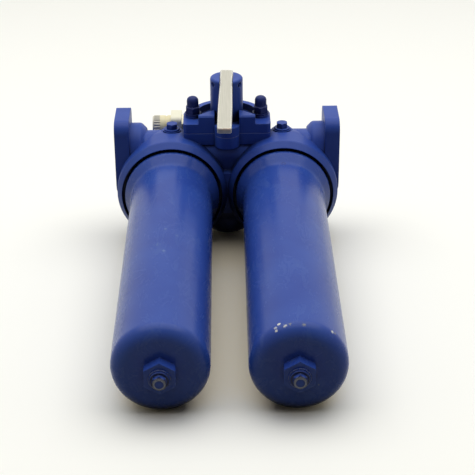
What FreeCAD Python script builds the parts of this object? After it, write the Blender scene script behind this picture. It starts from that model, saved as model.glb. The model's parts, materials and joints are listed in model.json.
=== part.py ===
import FreeCAD, Part
import math
import os

# Duplex filter housing, in millimetres.
# One head carries two long bowls, with a change-over valve between them and a port pad on each side.
# It is drawn with the bowls along Y, the valve axis along Z and the ports facing -X and +X.
# Y = 0 is the front lip of the bowl collars, and Z = 0 is the plane of the two bowl axes.
# At the end the whole housing is laid down, so that it rests on its bowl ends and its valve foot.

# Bowls
bowl_diameter = 102.0
bowl_wall = 5.0
bowl_length = 413.0
bowl_end_wall = 8.0
bowl_knuckle = 15.0
neck_flare = 8.5
neck_depth = 26.0
neck_show = 4.0
shoulder_length = 15.0
end_boss_flats = 32.0
end_boss_height = 12.0

# Collars of the head, round the bowl necks
collar_gap = 4.0
collar_wall = 6.5
collar_spacing = 0.0
collar_face = 9.0
collar_relief = 11.0
chamber_depth = 8.0
seat_width = 15.5
dome_flat_radius = 25.0
head_back = 84.0

# Gallery casting that joins the ports to the valve body
gallery_front = 20.0
gallery_top_step = 4.0
gallery_bottom_step = 12.0
gallery_round_front = 25.0
gallery_round_back = 36.0
gallery_end_round = 8.0
web_width = 11.0
web_top = 26.0
web_bottom = 30.0

# Ports
port_bore = 38.0
port_drop = 26.2
port_stand_off = 2.0
port_pad_thickness = 18.5
port_pad_long = 96.0
port_pad_short = 70.0
port_pad_corner = 15.0
port_hub_diameter = 68.0
port_hub_length = 14.0
port_hub_round = 6.8
port_bolt_long = 69.85
port_bolt_short = 35.71
port_bolt_hole = 10.2
port_bolt_depth = 16.0

# Change-over valve body
valve_setback = 57.5
valve_wall = 10.0
foot_drop = 4.0
foot_round = 24.0
foot_wall = 16.0
pad_rise = 8.0
pad_thickness = 15.0
pad_half_width = 55.0
pad_front = 33.7
pad_ear_back = 8.0
pad_back_radius = 46.0
pad_lobe_radius = 15.8
pad_corner = 5.0

# Cover
gasket_thickness = 0.6
plate_thickness = 12.0
crown_height = 11.2
crown_half_width = 35.5
notch_width = 31.0
notch_drop = 3.0
crown_angle = 51.0
crown_edge = 2.0
rim_height = 2.5
rim_wall = 7.5
recess_depth = 6.3
stud_span = 86.0
stud_offset = 5.0
stud_diameter = 10.0
stud_engagement = 13.0
nut_boss_height = 3.0
washer_thickness = 2.0
washer_diameter = 21.0
nut_flats = 17.0
nut_hex_height = 9.0
nut_height = 21.5
nut_dome_diameter = 14.8
nut_dome_round = 5.5

# Valve stem, rotor and lever
rotor_diameter = 48.0
rotor_setdown = 14.0
rotor_web = 5.0
rotor_core_diameter = 30.0
rotor_shaft = 10.0
rotor_open_angle = 112.0
stem_head_diameter = 41.2
stem_rise = 39.7
stem_edge = 3.0
journal_diameter = 30.0
shoulder_diameter = 42.6
shoulder_thickness = 7.0
thrust_thickness = 1.6
tongue_width = 12.0
tongue_length = 36.0
tongue_depth = 10.0
lever_thickness = 8.5
lever_width = 17.6
lever_tail_width = 15.8
lever_reach = 89.0
lever_tail = 25.3
lever_neck = 11.0
lever_swell = 45.0
lever_corner = 2.5
lever_slope = 18.0
lever_turn = -1.9
lever_lift_limit = 45.0
pin_diameter = 6.0
pin_forward = 11.5
pin_below_top = 6.5

# Plugs
plug_flats = 13.0
plug_head = 6.5
plug_flange_diameter = 20.0
plug_flange = 2.0
plug_shank_diameter = 13.0
plug_shank = 12.0
plug_seal_diameter = 23.0
plug_seal = 1.6
vent_boss_diameter = 27.0
vent_boss_rise = 2.4
vent_setback = 49.0
vent_tap_spare = 2.0
vent_bleed_diameter = 4.0

# Filter elements
element_gap = 6.0
element_end_gap = 31.0
pleat_depth = 15.0
core_wall = 1.2
pleat_count = 48
pleat_band = 3.5
cap_thickness = 4.0
cap_rim = 8.0
cap_rim_wall = 1.0
spigot_bore = 32.0
spigot_wall = 6.0
spigot_drop = 8.0
nozzle_length = 18.0
nozzle_wall = 4.7

# Bypass valve in the closed end of each element
bypass_bore = 20.0
bypass_disc_diameter = 26.0
bypass_disc = 3.0
bypass_stem_diameter = 6.0
bypass_travel = 5.0
spring_wire = 1.8
spring_diameter = 14.0
spring_turns = 4.0
cage_diameter = 36.0
cage_wall = 1.5
cage_height = 24.0
cage_window_width = 14.0

# Clogging indicator behind the head, on the left
indicator_clearance = 0.55
indicator_drop = 13.7
indicator_boss_diameter = 38.0
indicator_boss_reach = 50.0
indicator_root_share = 0.7
indicator_shank_diameter = 20.0
indicator_shank = 12.0
adapter_flats = 27.0
adapter_length = 9.0
indicator_block = 34.0
indicator_block_length = 14.0
indicator_block_corner = 6.0
barrel_diameter = 27.6
barrel_length = 14.5
ribbed_cap_diameter = 28.0
ribbed_cap_length = 9.5
rib_count = 24
rib_diameter = 2.0
button_diameter = 9.0
button_travel = 4.0
indicator_bore_depth = 12.0

# Passages between the valve and the bowls
passage = 18.0
port_to_outlet_web = 5.8
outlet_to_inlet_web = 4.0

# Seal rings
neck_seal = 5.2
neck_seal_setback = 7.0
nozzle_seal = 2.4
stem_seal_cord = 2.6

# Clearances
slip = 0.1
running = 0.05
seal_play = 0.05
loose = 0.3
tail_side_play = 0.3

# Derived sizes
bowl_radius = bowl_diameter / 2
bowl_bore_radius = bowl_radius - bowl_wall
neck_radius = bowl_radius + neck_flare
lip_radius = neck_radius + collar_gap
collar_radius = lip_radius + collar_wall
bowl_x = collar_radius + collar_spacing / 2
dome_round = collar_radius - dome_flat_radius
chamber_radius = neck_radius - seat_width
chamber_top = neck_depth + chamber_depth
gallery_top = collar_radius - gallery_top_step
gallery_bottom = collar_radius - gallery_bottom_step
foot_depth = collar_radius + foot_drop
port_height = gallery_top - port_drop
outlet_height = port_height - port_bore / 2 - port_to_outlet_web - passage / 2
inlet_height = outlet_height - passage - outlet_to_inlet_web
indicator_height = gallery_top - indicator_drop
pad_height = gallery_top + pad_rise
element_radius = bowl_bore_radius - element_gap
core_radius = element_radius - pleat_depth
port_face_x = bowl_x + collar_radius + port_stand_off
port_pad_inner = port_face_x - port_pad_thickness
port_hub_inner = port_pad_inner - port_hub_length
valve_bore_radius = rotor_diameter / 2 + running
valve_body_radius = valve_bore_radius + valve_wall
gallery_back = valve_setback + port_bore / 2 + valve_wall
indicator_setback = gallery_back + indicator_block / 2 + indicator_clearance
cover_base = pad_height + gasket_thickness
plate_top = cover_base + plate_thickness
crown_top = plate_top + crown_height
stem_top = crown_top + stem_rise
rotor_top = pad_height - rotor_setdown
recess_floor = plate_top - recess_depth
stem_head_radius = stem_head_diameter / 2
journal_radius = journal_diameter / 2
pin_z = stem_top - pin_below_top
element_top = chamber_top - spigot_drop - chamber_depth - cap_thickness - cap_rim
element_bottom = -bowl_length + bowl_end_wall + element_end_gap
element_length = element_top - element_bottom

ORIGIN = FreeCAD.Vector(0, 0, 0)
ALONG_X = FreeCAD.Vector(1, 0, 0)
ALONG_Y = FreeCAD.Vector(0, 1, 0)
ALONG_Z = FreeCAD.Vector(0, 0, 1)


def point(x, y, z):
    return FreeCAD.Vector(x, y, z)


# Shapes that many pieces share


def rounded_wire(corners):
    """Closed outline in the XY plane. Each corner is (x, y) or (x, y, radius)."""
    count = len(corners)
    starts = []
    ends = []
    middles = []
    for index, corner in enumerate(corners):
        here = point(corner[0], corner[1], 0)
        radius = corner[2] if len(corner) > 2 else 0.0
        before = point(corners[index - 1][0], corners[index - 1][1], 0)
        after = point(corners[(index + 1) % count][0], corners[(index + 1) % count][1], 0)
        back = (before - here).normalize()
        ahead = (after - here).normalize()
        half = back.getAngle(ahead) / 2
        cut = radius / math.tan(half) if radius else 0.0
        starts.append(here + back * cut)
        ends.append(here + ahead * cut)
        inward = (back + ahead).normalize() if radius else back
        middles.append(here + inward * (radius / math.sin(half) - radius) if radius else here)
    edges = []
    for index in range(count):
        if (ends[index] - starts[index]).Length > 1e-6:
            edges.append(Part.Arc(starts[index], middles[index], ends[index]).toShape())
        following = starts[(index + 1) % count]
        if (following - ends[index]).Length > 1e-6:
            edges.append(Part.LineSegment(ends[index], following).toShape())
    return Part.Wire(edges)


def prism(corners, low, high):
    """Outline in XY, pulled up from z = low to z = high."""
    face = Part.Face(rounded_wire(corners))
    face.translate(point(0, 0, low))
    return face.extrude(point(0, 0, high - low))


def turned(corners):
    """Body turned about the Y axis. Each corner is (radius, y) or (radius, y, round)."""
    return Part.Face(rounded_wire(corners)).revolve(ORIGIN, ALONG_Y, 360)


def turned_up(corners):
    """Body turned about the Z axis. Each corner is (radius, z) or (radius, z, round)."""
    body = turned(corners)
    body.rotate(ORIGIN, ALONG_X, 90)
    return body


def rod(radius, start, end):
    """Plain cylinder from one point to another."""
    span = end - start
    return Part.makeCylinder(radius, span.Length, start, span)


def ring(outer, inner, start, end):
    return rod(outer, start, end).cut(rod(inner, start, end))


def box(low, high):
    size = high - low
    return Part.makeBox(size.x, size.y, size.z, low)


def hexagon(flats, low, high):
    """Hexagon prism up Z with a corner on the Y axis."""
    across = flats / math.sqrt(3)
    corners = []
    for index in range(6):
        angle = math.radians(60 * index + 30)
        corners.append((across * math.cos(angle), across * math.sin(angle)))
    return prism(corners, low, high)


def seal_ring(mean_radius, cord, centre, axis):
    return Part.makeTorus(mean_radius, cord / 2, centre, axis)


def moved(shape, x, y, z):
    copy = shape.copy()
    copy.translate(point(x, y, z))
    return copy


def mirrored(shape, side):
    """The left piece is the right one seen in a mirror."""
    if side > 0:
        return shape
    return shape.mirror(ORIGIN, ALONG_X)


def joined(shapes):
    return shapes[0].multiFuse(shapes[1:]).removeSplitter()


# Bowls, with their seals and drain plugs


def bowl():
    """Long can: closed end with a hexagon boss, shoulder, and a thick neck that screws into the head."""
    neck_end = neck_depth
    groove_high = neck_end - neck_seal_setback
    groove_low = groove_high - neck_seal - 2 * slip
    can = turned([
        (0, -bowl_length),
        (bowl_radius, -bowl_length, bowl_knuckle),
        (bowl_radius, -neck_show - shoulder_length, shoulder_length),
        (neck_radius, -neck_show, neck_show),
        (neck_radius, groove_low),
        (neck_groove_radius(), groove_low),
        (neck_groove_radius(), groove_high),
        (neck_radius, groove_high),
        (neck_radius, neck_end),
        (bowl_bore_radius, neck_end),
        (bowl_bore_radius, -bowl_length + bowl_end_wall, bowl_knuckle - bowl_wall),
        (0, -bowl_length + bowl_end_wall),
    ])
    boss = hexagon(end_boss_flats, 0, end_boss_height + bowl_end_wall / 2)
    boss = boss.common(turned_up([
        (0, 0),
        (end_boss_flats, 0),
        (end_boss_flats, end_boss_height),
        (end_boss_flats / 2, end_boss_height + bowl_end_wall / 2),
        (0, end_boss_height + bowl_end_wall / 2),
    ]))
    boss.rotate(ORIGIN, ALONG_X, 90)
    boss.translate(point(0, -bowl_length + bowl_end_wall / 2, 0))
    tap = rod(plug_shank_diameter / 2 + slip, point(0, -bowl_length - end_boss_height, 0),
              point(0, -bowl_length + bowl_end_wall, 0))
    return joined([can, boss]).cut(tap)


def neck_bore_radius():
    return neck_radius + loose


def neck_groove_radius():
    return neck_bore_radius() - neck_seal - 2 * seal_play


def bowl_seal():
    middle = neck_depth - neck_seal_setback - neck_seal / 2 - slip
    return seal_ring(neck_bore_radius() - seal_play - neck_seal / 2, neck_seal, point(0, middle, 0), ALONG_Y)


def hex_plug():
    """Screw plug with a flange, standing on z = 0 with its shank pointing down."""
    body = turned_up([
        (0, -plug_shank),
        (plug_shank_diameter / 2, -plug_shank),
        (plug_shank_diameter / 2, 0),
        (plug_flange_diameter / 2, 0),
        (plug_flange_diameter / 2, plug_flange, plug_flange / 2),
        (0, plug_flange),
    ])
    head_top = plug_flange + plug_head
    head = hexagon(plug_flats, plug_flange / 2, head_top)
    head = head.common(turned_up([
        (0, 0),
        (plug_flats, 0),
        (plug_flats, head_top - plug_flats / 3),
        (plug_flats / 2 - slip, head_top),
        (0, head_top),
    ]))
    return joined([body, head])


def plug_washer():
    """Sealing washer below a screw plug, standing on z = 0."""
    return ring(plug_seal_diameter / 2, plug_shank_diameter / 2 + slip, ORIGIN, point(0, 0, plug_seal))


def facing_front(shape, x, y):
    """Turns a piece that stands up Z so that it points along -Y, with its foot at the given place."""
    copy = shape.copy()
    copy.rotate(ORIGIN, ALONG_X, 90)
    copy.translate(point(x, y, 0))
    return copy


# Head casting


def chamber():
    """Collar and domed chamber over one bowl, turned about its bowl axis."""
    return turned([
        (0, 0),
        (lip_radius + loose, 0),
        (collar_radius, collar_face, collar_face / 2),
        (collar_radius, head_back, dome_round),
        (0, head_back),
    ])


def chamber_hollow():
    """Counterbore, neck bore and the low space over the element, as one turned tool."""
    return turned([
        (0, -1),
        (lip_radius, -1),
        (lip_radius, collar_relief),
        (neck_bore_radius(), collar_relief),
        (neck_bore_radius(), neck_depth),
        (chamber_radius, neck_depth),
        (chamber_radius, chamber_top),
        (0, chamber_top),
    ])


def spigot():
    """Tube that hangs from the chamber roof and takes the nozzle of the element."""
    low = neck_depth - spigot_drop
    outer = spigot_bore / 2 + spigot_wall
    return ring(outer, spigot_bore / 2, point(0, low, 0), point(0, chamber_top + spigot_wall, 0))


def gallery():
    """Long body across the head, with a flat ridge and a rounded back."""
    section = [
        (gallery_front, gallery_top, gallery_round_front),
        (gallery_back, gallery_top, gallery_round_back),
        (gallery_back, -gallery_bottom, gallery_round_back),
        (gallery_front, -gallery_bottom, gallery_round_front),
    ]
    body = prism(section, -port_hub_inner, port_hub_inner)
    ends = [edge for edge in body.Edges if abs(abs(edge.CenterOfMass.z) - port_hub_inner) < 1e-3]
    body = body.makeFillet(gallery_end_round, ends)
    body.rotate(ORIGIN, point(1, 1, 1), 120)
    return body


def port_pad():
    """Rectangular pad of the right port, with the hub behind it."""
    half_short = port_pad_short / 2
    half_long = port_pad_long / 2
    pad = prism([
        (valve_setback - half_short, port_height - half_long, port_pad_corner),
        (valve_setback + half_short, port_height - half_long, port_pad_corner),
        (valve_setback + half_short, port_height + half_long, port_pad_corner),
        (valve_setback - half_short, port_height + half_long, port_pad_corner),
    ], port_pad_inner, port_face_x)
    pad.rotate(ORIGIN, point(1, 1, 1), 120)
    inner = port_hub_inner
    hub_radius = port_hub_diameter / 2
    hub = turned([
        (0, inner - port_hub_round),
        (hub_radius - port_hub_round, inner - port_hub_round),
        (hub_radius, inner, port_hub_round),
        (hub_radius, port_face_x - port_pad_thickness / 2),
        (0, port_face_x - port_pad_thickness / 2),
    ])
    hub.rotate(ORIGIN, ALONG_Z, -90)
    hub.translate(point(0, valve_setback, port_height))
    return joined([pad, hub])


def port_hollows():
    """Bore and blind bolt holes of the right port."""
    bore = rod(port_bore / 2, point(0, valve_setback, port_height), point(port_face_x + 1, valve_setback, port_height))
    tools = [bore]
    for along in (-1, 1):
        for up in (-1, 1):
            y = valve_setback + along * port_bolt_short / 2
            z = port_height + up * port_bolt_long / 2
            tools.append(rod(port_bolt_hole / 2, point(port_face_x - port_bolt_depth, y, z),
                             point(port_face_x + 1, y, z)))
    return tools


def pad_outline(low, high, back_radius):
    """Outline that the head pad, the gasket and the cover plate share: straight front with a lobe, round back."""
    ears = prism([
        (-pad_half_width, -pad_front, pad_corner),
        (pad_half_width, -pad_front, pad_corner),
        (pad_half_width, pad_ear_back, pad_corner),
        (-pad_half_width, pad_ear_back, pad_corner),
    ], low, high)
    back = rod(back_radius, point(0, 0, low), point(0, 0, high))
    back = back.cut(box(point(-2 * back_radius, -2 * back_radius, low), point(2 * back_radius, -pad_front, high)))
    lobe = rod(pad_lobe_radius, point(0, -pad_front, low), point(0, -pad_front, high))
    return moved(joined([ears, back, lobe]), 0, valve_setback, 0)


def valve_body():
    """Upright body of the change-over valve, with the rounded foot and the pad under the cover."""
    column = turned_up([
        (0, -foot_depth),
        (valve_body_radius, -foot_depth, foot_round),
        (valve_body_radius, pad_height - pad_thickness / 2),
        (0, pad_height - pad_thickness / 2),
    ])
    column.translate(point(0, valve_setback, 0))
    return [column, pad_outline(pad_height - pad_thickness, pad_height, pad_back_radius)]


def valve_hollow():
    return rod(valve_bore_radius, point(0, valve_setback, -foot_depth + foot_wall), point(0, valve_setback, pad_height + 1))


def passages():
    """Slanted drillings from the valve bore to one chamber: one to its outer space, one to the spigot."""
    radius = passage / 2
    tools = []
    inlet_start = point(bowl_x - chamber_radius + radius, neck_depth + radius / 2, inlet_height)
    tools.append(rod(radius, inlet_start, point(0, valve_setback, inlet_height)))
    outlet_start = point(bowl_x - loose, chamber_top, outlet_height)
    tools.append(rod(radius, outlet_start, point(0, valve_setback, outlet_height)))
    return tools


def web():
    """Thin wall that ties the two collars together."""
    return box(point(-web_width / 2, collar_face, -web_bottom), point(web_width / 2, gallery_front + web_width, web_top))


def vent_boss():
    return rod(vent_boss_diameter / 2, point(bowl_x, vent_setback, 0), point(bowl_x, vent_setback, vent_seat()))


def vent_seat():
    return gallery_top + vent_boss_rise


def vent_hollow():
    """Tapped hole of the vent plug, the spot face for its washer and the bleed into the top of the chamber."""
    tap_end = point(bowl_x, vent_setback, vent_seat() - plug_shank - vent_tap_spare)
    tap = rod(plug_shank_diameter / 2 + slip, tap_end, point(bowl_x, vent_setback, collar_radius))
    spot = rod(vent_boss_diameter / 2, point(bowl_x, vent_setback, vent_seat()),
               point(bowl_x, vent_setback, collar_radius + 1))
    chamber_corner = point(bowl_x, chamber_top - vent_bleed_diameter, chamber_radius - vent_bleed_diameter)
    bleed = rod(vent_bleed_diameter / 2, chamber_corner, tap_end)
    return tap.multiFuse([spot, bleed])


def indicator_boss():
    """Boss of the indicator behind the gallery, with the root that ties it to the valve body."""
    radius = indicator_boss_diameter / 2
    barrel = rod(radius, point(-indicator_boss_reach, indicator_setback, indicator_height),
                 point(radius / 2, indicator_setback, indicator_height))
    half_root = radius * indicator_root_share
    root = box(point(-indicator_boss_reach + indicator_shank, valve_setback, indicator_height - half_root),
               point(radius / 2, indicator_setback, indicator_height + half_root))
    return barrel.fuse(root)


def indicator_tap():
    return rod(indicator_shank_diameter / 2 + slip,
               point(-indicator_boss_reach + indicator_shank + loose, indicator_setback, indicator_height),
               point(-indicator_boss_reach - 1, indicator_setback, indicator_height))


def stud_places():
    return [(side * stud_span / 2, valve_setback - stud_offset) for side in (-1, 1)]


def filter_head():
    solids = [gallery(), web(), indicator_boss()] + valve_body()
    cuts = [valve_hollow(), indicator_tap()]
    spigots = []
    for side in (-1, 1):
        solids.append(moved(chamber(), side * bowl_x, 0, 0))
        solids.append(mirrored(port_pad(), side))
        solids.append(mirrored(vent_boss(), side))
        cuts.append(moved(chamber_hollow(), side * bowl_x, 0, 0))
        cuts += [mirrored(tool, side) for tool in port_hollows() + passages() + [vent_hollow()]]
        spigots.append(moved(spigot(), side * bowl_x, 0, 0))
    for x, y in stud_places():
        cuts.append(rod(stud_diameter / 2 + slip, point(x, y, pad_height - stud_engagement - loose),
                        point(x, y, pad_height + 1)))
    casting = joined(solids)
    casting = casting.cut(cuts)
    outlet_cuts = [mirrored(passages()[1], side) for side in (-1, 1)]
    return casting.fuse(spigots).cut(outlet_cuts).removeSplitter()


# Cover, gasket and cover fasteners


def pad_holes(low, high):
    """Stud holes through the plate or the gasket."""
    return [rod(stud_diameter / 2 + loose, point(x, y, low), point(x, y, high)) for x, y in stud_places()]


def cover_gasket():
    sheet = pad_outline(pad_height, cover_base, pad_back_radius)
    tools = pad_holes(pad_height, cover_base)
    tools.append(rod(valve_bore_radius, point(0, valve_setback, pad_height), point(0, valve_setback, cover_base)))
    return sheet.cut(tools)


def sector(radius, half_angle, low, high):
    """Slice of a disc about the Z axis, centred on -Y."""
    wedge = Part.makeCylinder(radius, high - low, point(0, 0, low), ALONG_Z, 2 * half_angle)
    wedge.rotate(ORIGIN, ALONG_Z, -90 - half_angle)
    return wedge


def crown():
    """Two merlons in front of the stem, cut by the notch that the lever stands over."""
    reach = pad_front + loose
    block = box(point(-crown_half_width, -pad_front, cover_base), point(crown_half_width, 0, crown_top))
    block = block.common(sector(2 * pad_back_radius, crown_angle, cover_base, crown_top))
    notch = box(point(-notch_width / 2, -reach, plate_top - notch_drop), point(notch_width / 2, 0, crown_top + 1))
    edges = [
        edge for edge in block.Edges
        if abs(edge.CenterOfMass.z - crown_top) < 1e-3 and abs(edge.CenterOfMass.y + pad_front) < 1e-3
    ]
    block = block.makeChamfer(crown_edge, edges)
    return block, notch


def valve_cover():
    """Plate with ears, a crown of two merlons in front and a low rim round the back of the stem."""
    plate = pad_outline(cover_base, plate_top, pad_back_radius)
    plate.translate(point(0, -valve_setback, 0))
    rim = rod(pad_back_radius, point(0, 0, plate_top - rim_height), point(0, 0, plate_top + rim_height))
    keep = box(point(-pad_back_radius, pad_ear_back, plate_top - rim_height),
               point(pad_back_radius, pad_back_radius, plate_top + rim_height))
    rim = rim.common(keep)
    block, notch = crown()
    body = joined([plate, rim, block])
    for x, y in stud_places():
        body = body.fuse(rod(washer_diameter / 2, point(x, y - valve_setback, cover_base),
                             point(x, y - valve_setback, plate_top + nut_boss_height)))
    recess_radius = pad_back_radius - rim_wall
    recess = rod(recess_radius, point(0, 0, recess_floor), point(0, 0, crown_top + 1))
    recess = recess.cut(sector(recess_radius + 1, crown_angle, recess_floor, crown_top + 1))
    stem_room = rod(stem_head_radius + loose, point(0, 0, recess_floor), point(0, 0, crown_top + 1))
    bore = rod(journal_radius + running, point(0, 0, cover_base), point(0, 0, crown_top))
    body = body.cut([recess, stem_room, bore, notch])
    body.translate(point(0, valve_setback, 0))
    return body.cut(pad_holes(cover_base, crown_top)).removeSplitter()


def cover_studs():
    top = plate_top + nut_boss_height + washer_thickness + nut_hex_height
    return [rod(stud_diameter / 2, point(x, y, pad_height - stud_engagement), point(x, y, top)) for x, y in stud_places()]


def cover_washers():
    low = plate_top + nut_boss_height
    shapes = []
    for x, y in stud_places():
        shapes.append(ring(washer_diameter / 2, stud_diameter / 2 + slip, point(x, y, low),
                           point(x, y, low + washer_thickness)))
    return shapes


def cap_nut():
    """Domed cap nut standing on z = 0."""
    dome_radius = nut_dome_diameter / 2
    hex_part = hexagon(nut_flats, 0, nut_hex_height).common(turned_up([
        (0, 0),
        (nut_flats, 0),
        (nut_flats, nut_hex_height - nut_flats / 3),
        (dome_radius, nut_hex_height),
        (0, nut_hex_height),
    ]))
    dome = turned_up([
        (0, nut_hex_height / 2),
        (dome_radius, nut_hex_height / 2),
        (dome_radius, nut_height, nut_dome_round),
        (0, nut_height),
    ])
    bore = rod(stud_diameter / 2 + slip, ORIGIN, point(0, 0, nut_hex_height + loose))
    return joined([hex_part, dome]).cut(bore)


def cover_nuts():
    low = plate_top + nut_boss_height + washer_thickness
    return [moved(cap_nut(), x, y, low) for x, y in stud_places()]


# Valve stem, rotor and lever, drawn with the lever pointing along -Y


def thrust_base():
    return cover_base - thrust_thickness - loose


def stem_seal_middle():
    return cover_base + (recess_floor - cover_base) / 2


def stem_groove_radius():
    return journal_radius - stem_seal_cord + running - 2 * seal_play


def valve_stem():
    """Round slotted head, journal, retaining shoulder and the tongue that drives the rotor."""
    shoulder_top = thrust_base() - slip
    shoulder_low = shoulder_top - shoulder_thickness
    groove_half = stem_seal_cord / 2 + slip
    body = turned_up([
        (0, shoulder_low),
        (shoulder_diameter / 2, shoulder_low),
        (shoulder_diameter / 2, shoulder_top),
        (journal_radius, shoulder_top),
        (journal_radius, stem_seal_middle() - groove_half),
        (stem_groove_radius(), stem_seal_middle() - groove_half),
        (stem_groove_radius(), stem_seal_middle() + groove_half),
        (journal_radius, stem_seal_middle() + groove_half),
        (journal_radius, recess_floor + loose),
        (stem_head_radius, recess_floor + loose),
        (stem_head_radius, stem_top, stem_edge),
        (0, stem_top),
    ])
    tongue = box(
        point(-tongue_width / 2, -tongue_length / 2, rotor_top - tongue_depth),
        point(tongue_width / 2, tongue_length / 2, shoulder_low + 1),
    )
    half_slot = lever_tail_width / 2 + tail_side_play
    under = lever_thickness / 2 / math.cos(math.radians(lever_slope))
    drop = (stem_head_radius - pin_forward) * math.tan(math.radians(lever_slope))
    lip_z = pin_z - drop - under - loose
    swing = math.hypot(lever_tail, lever_thickness / 2) + loose
    tail_angle = math.radians(lever_lift_limit - lever_slope)
    deep_z = pin_z - swing * math.sin(tail_angle + math.atan2(lever_thickness / 2, lever_tail)) - loose
    reach = stem_head_diameter
    slot = box(point(-half_slot, -reach, lip_z), point(half_slot, reach, stem_top + 1))
    well = box(point(-half_slot, -pin_forward, deep_z), point(half_slot, reach, stem_top + 1))
    pin_hole = rod(pin_diameter / 2 + running, point(-reach, -pin_forward, pin_z), point(reach, -pin_forward, pin_z))
    return joined([body, tongue]).cut([slot, well, pin_hole])


def lever_pin():
    half = math.sqrt(stem_head_radius ** 2 - (pin_forward + pin_diameter / 2) ** 2) - slip
    return rod(pin_diameter / 2, point(-half, -pin_forward, pin_z), point(half, -pin_forward, pin_z))


def lever_bar():
    """Flat bar that widens gently from the slot towards the hand, with chamfered edges and rounded corners."""
    tail_half = lever_tail_width / 2
    half = lever_width / 2
    bar = prism([
        (-tail_half, lever_tail, lever_corner),
        (-tail_half, -lever_neck),
        (-half, -lever_swell),
        (-half, -lever_reach, lever_corner),
        (half, -lever_reach, lever_corner),
        (half, -lever_swell),
        (tail_half, -lever_neck),
        (tail_half, lever_tail, lever_corner),
    ], -lever_thickness / 2, lever_thickness / 2)
    long_edges = [edge for edge in bar.Edges if abs(abs(edge.CenterOfMass.z) - lever_thickness / 2) < 1e-3]
    bar = bar.makeChamfer(lever_thickness / 10, long_edges)
    bar = bar.cut(rod(pin_diameter / 2 + 2 * running, point(-half, 0, 0), point(half, 0, 0)))
    bar.rotate(ORIGIN, ALONG_X, lever_slope)
    bar.translate(point(0, -pin_forward, pin_z))
    return bar


def stem_thrust_washer():
    low = thrust_base()
    return ring(shoulder_diameter / 2, journal_radius + slip, point(0, 0, low), point(0, 0, low + thrust_thickness))


def stem_seal():
    mean = journal_radius + running - seal_play - stem_seal_cord / 2
    return seal_ring(mean, stem_seal_cord, point(0, 0, stem_seal_middle()), ALONG_Z)


def rotor_channel(height):
    """Groove round the front of the rotor that meets the drillings to both bowls at one height."""
    half = passage / 2 + slip
    slice_tool = sector(rotor_diameter, rotor_open_angle, height - half, height + half)
    return slice_tool.cut(rod(rotor_core_diameter / 2, point(0, 0, height - half), point(0, 0, height + half)))


def changeover_rotor():
    """Turning plug. The left port leads down its centre to the lower groove, the right port to the upper one."""
    radius = rotor_diameter / 2
    low = -foot_depth + foot_wall + loose
    body = turned_up([(0, low), (radius, low), (radius, rotor_top), (0, rotor_top)])
    tongue_slot = box(
        point(-tongue_width / 2 - slip, -radius - 1, rotor_top - tongue_depth - slip),
        point(tongue_width / 2 + slip, radius + 1, rotor_top + 1),
    )
    top = rotor_top - tongue_depth - rotor_web
    pocket_low = port_height - port_bore / 2
    left_pocket = box(point(-radius - 1, -radius, pocket_low), point(-rotor_web / 2, radius, top))
    right_pocket = box(point(rotor_web / 2, -radius, outlet_height - passage / 2), point(radius + 1, radius, top))
    shaft_x = -(rotor_web + rotor_core_diameter) / 4
    shaft_radius = rotor_shaft / 2
    shaft = rod(shaft_radius, point(shaft_x, 0, inlet_height), point(shaft_x, 0, top))
    window = rod(shaft_radius, point(shaft_x, 0, inlet_height), point(-radius - 1, 0, inlet_height))
    cuts = [tongue_slot, left_pocket, right_pocket, shaft, window]
    return body.cut(cuts + [rotor_channel(inlet_height), rotor_channel(outlet_height)])


def about_valve(shape):
    """Turns a piece of the valve to the lever's resting angle and sets it on the valve axis."""
    copy = shape.copy()
    copy.rotate(ORIGIN, ALONG_Z, lever_turn)
    copy.translate(point(0, valve_setback, 0))
    return copy


# Filter elements and their bypass valves


def pleated_pack():
    """Zigzag band of filter material round the core."""
    outer_peak = element_radius - cap_rim_wall - slip
    inner_valley = core_radius + slip
    outline = []
    for offset, order in ((0.0, 1), (-pleat_band, -1)):
        loop = []
        for index in range(2 * pleat_count):
            peak = index % 2 == 0
            radius = outer_peak + offset if peak else inner_valley + pleat_band + offset
            angle = math.pi * index / pleat_count
            loop.append(point(radius * math.cos(angle), 0, radius * math.sin(angle)))
        outline.append(Part.Face(Part.makePolygon(loop + [loop[0]])))
    band = outline[0].cut(outline[1])
    length = element_length - 2 * cap_thickness
    pack = band.extrude(point(0, -length, 0))
    pack.translate(point(0, element_top - cap_thickness, 0))
    return pack


def core_tube():
    return ring(core_radius, core_radius - core_wall, point(0, element_bottom + cap_thickness, 0),
                point(0, element_top - cap_thickness, 0))


def end_cap_cup():
    """Cup that closes one end of the element, open towards -Y, with its face at y = 0."""
    outer = element_radius
    return turned([
        (0, -cap_thickness),
        (outer - cap_rim_wall, -cap_thickness),
        (outer - cap_rim_wall, -cap_rim),
        (outer, -cap_rim),
        (outer, 0, cap_rim_wall),
        (0, 0),
    ])


def nozzle_radius():
    return spigot_bore / 2 - loose


def nozzle_groove_radius():
    return spigot_bore / 2 - nozzle_seal - 2 * seal_play


def nozzle_seal_middle():
    return element_top + nozzle_length - nozzle_seal


def open_end_cap():
    """End cap with the nozzle that plugs into the spigot of the head."""
    radius = nozzle_radius()
    half = nozzle_seal / 2 + slip
    middle = nozzle_seal_middle()
    nozzle = turned([
        (0, -cap_thickness / 2),
        (radius, -cap_thickness / 2),
        (radius, middle - element_top - half),
        (nozzle_groove_radius(), middle - element_top - half),
        (nozzle_groove_radius(), middle - element_top + half),
        (radius, middle - element_top + half),
        (radius, nozzle_length),
        (0, nozzle_length),
    ])
    bore = rod(radius - nozzle_wall, point(0, -cap_thickness, 0), point(0, nozzle_length, 0))
    return moved(joined([end_cap_cup(), nozzle]).cut(bore), 0, element_top, 0)


def nozzle_seal_ring():
    mean = spigot_bore / 2 - seal_play - nozzle_seal / 2
    return seal_ring(mean, nozzle_seal, point(0, nozzle_seal_middle(), 0), ALONG_Y)


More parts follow.
